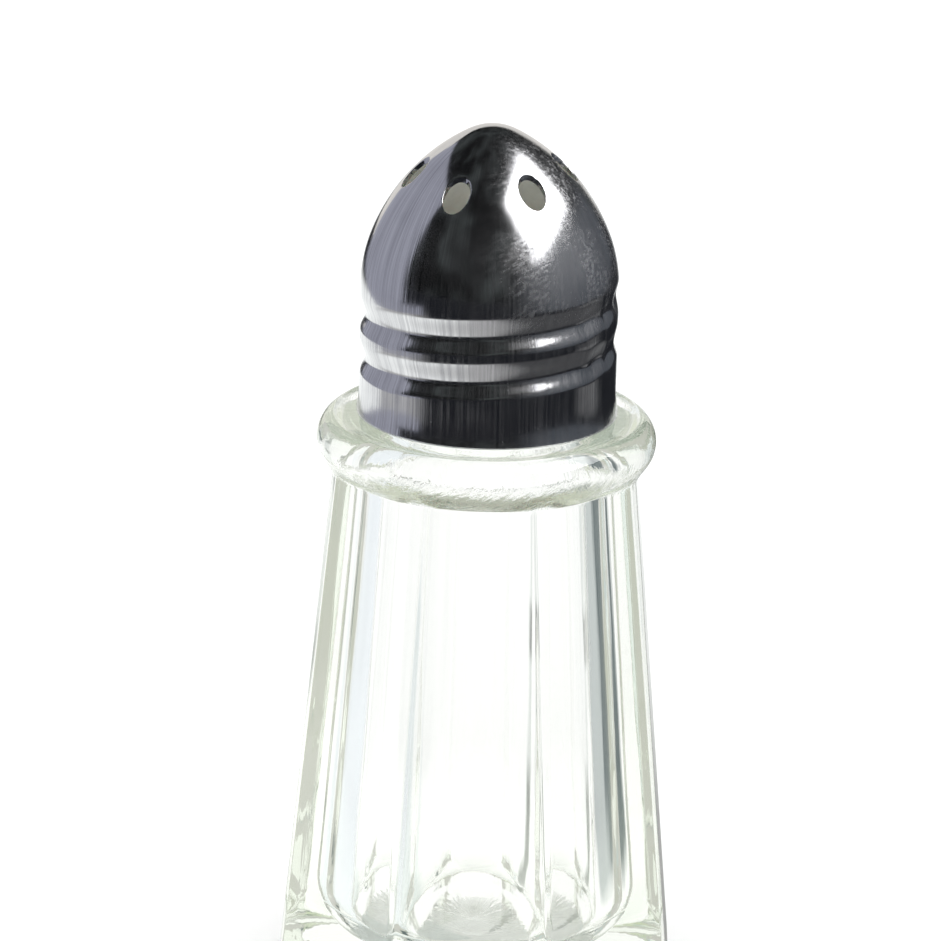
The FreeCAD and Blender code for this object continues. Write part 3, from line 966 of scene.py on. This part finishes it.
# The floor in reflections: white paper on a dark table. Each pair is where a stretch of
# paper begins and where it is full, as a distance from the jar, a place or a share of it
PAPER_EDGE = -54                   # azimuth where the paper ends in front of the cap
FAR_PAPER_SIDE = (-0.05, 0.35)
FAR_PAPER_REACH = (0.42, 0.34)
FAR_PAPER_X = (0.02, -0.05)
NEAR_PAPER_REACH = (0.19, 0.15)
NEAR_PAPER_X = (0.055, 0.010, 0.14, 1.0)   # dim on the right, where 0.14 of it is left
BACK_PAPER_SHARE = (0.955, 0.995)
LIT_X = (-0.01, -0.10)             # the paper is brighter on the left and far behind
LIT_REACH = (0.20, 0.15)
LIT_Y = (0.05, 0.11)
PATCH_X = (0.17, 0.20, 0.27, 0.30)
PATCH_Y = (-0.03, 0.00, 0.08, 0.12)
PATCH_LIGHT = 0.25
TABLE = (0.010, 0.011, 0.014)
PAPER_DIM = (0.42, 0.42, 0.42)
PAPER_LIT = (0.88, 0.90, 0.89)
PAPER_PLAIN = (0.9, 0.9, 0.9)

# The floor through the glass: shares are x over the distance from the jar
GLASS_PLAIN = (0.84, 0.84, 0.84)
GLASS_LILAC = (0.70, 0.73, 0.765)
LILAC_SHARE = (-0.30, -0.60)
STAND_DARK = (0.13, 0.155, 0.16)
STAND_EDGE = (0.45, 0.48, 0.48)
STAND_EDGE_SHARE = (0.80, 0.90)
STAND_SHARE = (0.28, 0.42)
STAND_REACH = (0.038, 0.050)
SAGE = (0.60, 0.64, 0.64)
SAGE_SHARE = (-0.78, -0.88)
LINE_SHARE = (0.60, 0.66, 0.72, 0.75)
LINE_GREY = (0.62, 0.64, 0.63)
LINE_DARK = (0.22, 0.23, 0.22)
LINE_BREAK = (0.110, 0.116, 0.130, 0.136)
LINE_NEAR = (0.078, 0.066)
PAINTED_FOOT_GLOW = (0.20, 0.22, 0.19, 1)   # painted glow of the paper right round the foot, lifting the glass's shadow there
FOOT_GLOW_REACH = (0.075, 0.035)


def toward(azimuth, elevation):
    """Direction from the object; azimuth 0 is towards the camera, positive to its right."""
    a = math.radians(azimuth + CAMERA_TURN)
    e = math.radians(elevation)
    return Vector((math.sin(a) * math.cos(e), -math.cos(a) * math.cos(e), math.sin(e)))


def glow(name, colour, strength, edges=(0.0, 0.0, 0.0, 0.0)):
    """Glow that fades in from a card's edges; edges are the widths of its left, right,
    lower and upper fade, as shares of the card."""
    material = bpy.data.materials.new(name)
    material.use_nodes = True
    tree = material.node_tree
    tree.nodes.clear()
    out = tree.nodes.new("ShaderNodeOutputMaterial")
    lamp = tree.nodes.new("ShaderNodeEmission")
    lamp.inputs["Color"].default_value = (*colour, 1)
    parts = coordinates(tree, tree.nodes.new("ShaderNodeTexCoord").outputs["UV"])
    light = strength
    for axis, (near, far) in (("X", edges[:2]), ("Y", edges[2:])):
        for outer, inner in ((0.0, near), (1.0, 1.0 - far)):
            if outer != inner:
                light = product(tree, window(tree, parts[axis], outer, inner), light)
    feed(tree, lamp.inputs["Strength"], light)
    tree.links.new(lamp.outputs["Emission"], out.inputs["Surface"])
    return material


def card(name, corners, material):
    """Studio card that only reflections can see."""
    mesh = bpy.data.meshes.new(name)
    mesh.from_pydata([tuple(c) for c in corners], [], [tuple(range(len(corners)))])
    spread = mesh.uv_layers.new(name="spread")
    for loop, place in zip(spread.data, ((0, 0), (1, 0), (1, 1), (0, 1))):
        loop.uv = place
    piece = bpy.data.objects.new(name, mesh)
    bpy.context.scene.collection.objects.link(piece)
    mesh.materials.append(material)
    piece.visible_camera = False
    piece.visible_diffuse = False
    piece.visible_shadow = False
    piece.visible_transmission = False


def hanging(places):
    """Corners of a card that hangs round the cap, from azimuths and elevations."""
    return [CAP_CENTRE + toward(*place) * SOFTBOX_DISTANCE for place in places]


def standing(first, second, low, high_first, high_second):
    """Corners of a card that stands between two places."""
    turn = Matrix.Rotation(math.radians(CAMERA_TURN), 3, "Z")
    corners = ((*first, low), (*second, low), (*second, high_second), (*first, high_first))
    return [turn @ Vector(c) for c in corners]


def table_reflected(tree, place, parts, reach):
    """The paper ends in front and on the right, where a dark table begins."""
    edge = toward(PAPER_EDGE, 0)
    across_edge = vector_maths(tree, "DOT_PRODUCT", place, (edge.y, -edge.x, 0))["Value"]
    far_paper = product(
        tree,
        window(tree, maths(tree, "DIVIDE", across_edge, reach), *FAR_PAPER_SIDE),
        window(tree, reach, *FAR_PAPER_REACH),
        window(tree, parts["X"], *FAR_PAPER_X),
    )
    near_paper = product(
        tree,
        window(tree, reach, *NEAR_PAPER_REACH),
        window(tree, parts["X"], *NEAR_PAPER_X),
    )
    straight_behind = maths(tree, "DIVIDE", parts["Y"], reach)
    back_paper = window(tree, straight_behind, *BACK_PAPER_SHARE)
    patch = product(
        tree,
        between(tree, parts["X"], *PATCH_X),
        between(tree, parts["Y"], *PATCH_Y),
        PATCH_LIGHT,
    )
    paper_here = highest(tree, near_paper, far_paper, back_paper, patch)
    painted_light = product(tree, window(tree, parts["X"], *LIT_X), window(tree, reach, *LIT_REACH))
    painted_light = highest(tree, painted_light, window(tree, parts["Y"], *LIT_Y))
    return pair_colours(tree, paper_here, TABLE, pair_colours(tree, painted_light, PAPER_DIM, PAPER_LIT))


def floor_through_glass(tree, parts, reach):
    """Lilac on the left, and behind on the right a dark stand that the jar's side wall
    mirrors once and a land picks up as a broken line."""
    behind = window(tree, parts["Y"], 0.0, 0.005)
    side = maths(tree, "DIVIDE", parts["X"], reach)
    left = pair_colours(tree, window(tree, side, *LILAC_SHARE), GLASS_PLAIN, GLASS_LILAC)
    right = pair_colours(tree, window(tree, side, *STAND_EDGE_SHARE), STAND_DARK, STAND_EDGE)
    stand = product(
        tree,
        window(tree, side, *STAND_SHARE),
        window(tree, reach, *STAND_REACH),
        behind,
    )
    mirrored = pair_colours(tree, stand, left, right)
    far = pair_colours(tree, window(tree, side, *SAGE_SHARE), GLASS_PLAIN, SAGE)
    broken = highest(
        tree,
        between(tree, reach, *LINE_BREAK),
        window(tree, reach, *LINE_NEAR),
    )
    line = pair_colours(tree, broken, LINE_GREY, LINE_DARK)
    line_here = product(tree, between(tree, side, *LINE_SHARE), behind)
    straight = pair_colours(tree, line_here, far, line)
    once = window(tree, light_path(tree)["Glossy Depth"], 0.4, 0.6)
    return pair_colours(tree, once, straight, mirrored)


def floor_colour(tree):
    """White paper for the camera, a shade less through the glass, and a dark table with
    paper on it in reflections."""
    place = object_vector(tree)
    parts = coordinates(tree, place)
    reach = vector_maths(tree, "LENGTH", place)["Value"]
    through = floor_through_glass(tree, parts, reach)
    direct = pair_colours(tree, light_path(tree)["Is Transmission Ray"], PAPER_PLAIN, through)
    table = table_reflected(tree, place, parts, reach)
    return pair_colours(tree, only_reflections(tree), direct, table)


def make_floor():
    """Pale floor under everything."""
    deselect()
    bpy.ops.mesh.primitive_plane_add(size=FLOOR_WIDTH, location=(0, 0, -FLOOR_GAP))
    floor = bpy.context.object
    floor.name = "pale_floor"
    material, tree, shader = new_material("pale_floor_paper")
    shader.inputs["Roughness"].default_value = 0.9
    shader.inputs["Specular IOR Level"].default_value = 0.0
    feed(tree, shader.inputs["Base Color"], floor_colour(tree))
    # painted glow round the foot, seen only through the glass, lifts the shadow that the glass
    # casts on the paper
    round_foot = window(tree, axis_distance(tree, object_vector(tree)), *FOOT_GLOW_REACH)
    painted_glow_here = product(tree, round_foot, light_path(tree)["Is Transmission Ray"])
    feed(tree, shader.inputs["Emission Strength"], painted_glow_here)
    shader.inputs["Emission Color"].default_value = PAINTED_FOOT_GLOW
    dress(floor, material)


def make_cards():
    """What the polished cap sees round it."""
    for name, corners, light in (
        (
            "softbox_right",
            hanging(SOFTBOX_CORNERS),
            glow("softbox_right_light", (1, 1, 1), 6.0, SOFTBOX_FADES),
        ),
        (
            "softbox_spill",
            hanging(SPILL_CORNERS),
            glow("softbox_spill_light", (1, 1, 1), 0.25, SPILL_FADES),
        ),
        (
            "side_wall_left",
            standing(*LEFT_WALL),
            glow("lavender_wall", (0.40, 0.41, 0.485), 1.0),
        ),
        (
            "backdrop",
            standing(*BACKDROP),
            glow("backdrop_white", (1.0, 0.97, 0.92), 0.9),
        ),
        (
            "side_wall_right",
            standing(*RIGHT_WALL),
            glow("slate_wall", (0.085, 0.095, 0.11), 1.0, RIGHT_WALL_FADES),
        ),
        (
            "table_edge_left",
            standing(*TABLE_EDGE),
            glow("lavender_edge", (0.36, 0.37, 0.44), 1.0, TABLE_EDGE_FADES),
        ),
    ):
        card(name, corners, light)


def light_room():
    """Room light: white for the camera, the floor and the glass, dim for reflections."""
    world = bpy.data.worlds.new("studio")
    bpy.context.scene.world = world
    world.use_nodes = True
    tree = world.node_tree
    tree.nodes.clear()
    out = tree.nodes.new("ShaderNodeOutputWorld")
    mix = tree.nodes.new("ShaderNodeMixShader")
    bright = tree.nodes.new("ShaderNodeBackground")
    bright.inputs["Color"].default_value = (1, 1, 1, 1)
    through = light_path(tree)["Is Transmission Ray"]
    strength = window(tree, through, 0, 1, ROOM_LIGHT, ROOM_THROUGH_GLASS)
    tree.links.new(strength, bright.inputs["Strength"])
    dim = tree.nodes.new("ShaderNodeBackground")
    around = tree.nodes.new("ShaderNodeTexCoord").outputs["Generated"]
    clouds = window(tree, grain(tree, around, 3.2, 3.0), 0.45, 0.72)
    colour = pair_colours(tree, clouds, (0.003, 0.0035, 0.004), (0.070, 0.080, 0.080))
    tree.links.new(colour, dim.inputs["Color"])
    tree.links.new(only_reflections(tree), mix.inputs["Fac"])
    tree.links.new(bright.outputs["Background"], mix.inputs[1])
    tree.links.new(dim.outputs["Background"], mix.inputs[2])
    tree.links.new(mix.outputs["Shader"], out.inputs["Surface"])
    settings = bpy.context.scene.view_settings
    settings.view_transform = "Standard"
    settings.look = "None"
    settings.exposure = 0.0


# Camera, as fitted to the photograph

CAMERA_DISTANCE = 0.45885      # metres from the hem's centre
CAMERA_ELEVATION = 0.309188    # this and the next three are in radians
CAMERA_YAW = -0.0042446
CAMERA_PITCH = -0.3251428
CAMERA_ROLL = 0.0211535
FOCAL_LENGTH = 3879.9          # pixels, as is the photo's width
PHOTO_WIDTH = 941
SENSOR_WIDTH = 36              # millimetres


def make_camera():
    """Stands where the photograph was taken."""
    back, up_by = -math.cos(CAMERA_ELEVATION), math.sin(CAMERA_ELEVATION)
    place = Vector((0, back, up_by)) * CAMERA_DISTANCE
    level = math.cos(CAMERA_PITCH)
    look = Vector(
        (math.sin(CAMERA_YAW) * level, math.cos(CAMERA_YAW) * level, math.sin(CAMERA_PITCH))
    )
    right = look.cross(Vector((0, 0, 1))).normalized()
    up = right.cross(look)
    across = math.cos(CAMERA_ROLL)
    lean = math.sin(CAMERA_ROLL)
    right, up = right * across + up * lean, up * across - right * lean
    frame_of_view = Matrix((right, up, -look)).transposed().to_4x4()
    frame_of_view.translation = place + Vector((0, 0, HEM * MM))
    data = bpy.data.cameras.new("view")
    camera = bpy.data.objects.new("view", data)
    bpy.context.scene.collection.objects.link(camera)
    camera.matrix_world = (
        Matrix.Rotation(math.radians(CAMERA_TURN), 4, "Z") @ frame_of_view
    )
    data.sensor_width = SENSOR_WIDTH
    data.lens = FOCAL_LENGTH * SENSOR_WIDTH / PHOTO_WIDTH
    data.clip_start = 0.01
    data.clip_end = 50
    bpy.context.scene.camera = camera


make_floor()
make_cards()
light_room()
make_camera()

axial_lines = axial_lines_group()
handling_marks = handling_marks_group()

cap = make_cap()
dress(cap, steel_finish(axial_lines, handling_marks), inner_steel_finish(handling_marks))
for face in cap.data.polygons:
    face.material_index = int(is_inner(face))
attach(cap, "cap")
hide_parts("screw_cap")

jar = make_jar()
dress(jar, glass_finish(axial_lines, handling_marks))
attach(jar, "jar")
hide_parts("glass_jar")

washer = make_washer()
dress(washer, washer_finish(handling_marks))
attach(washer, "washer")
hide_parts("lip_washer")
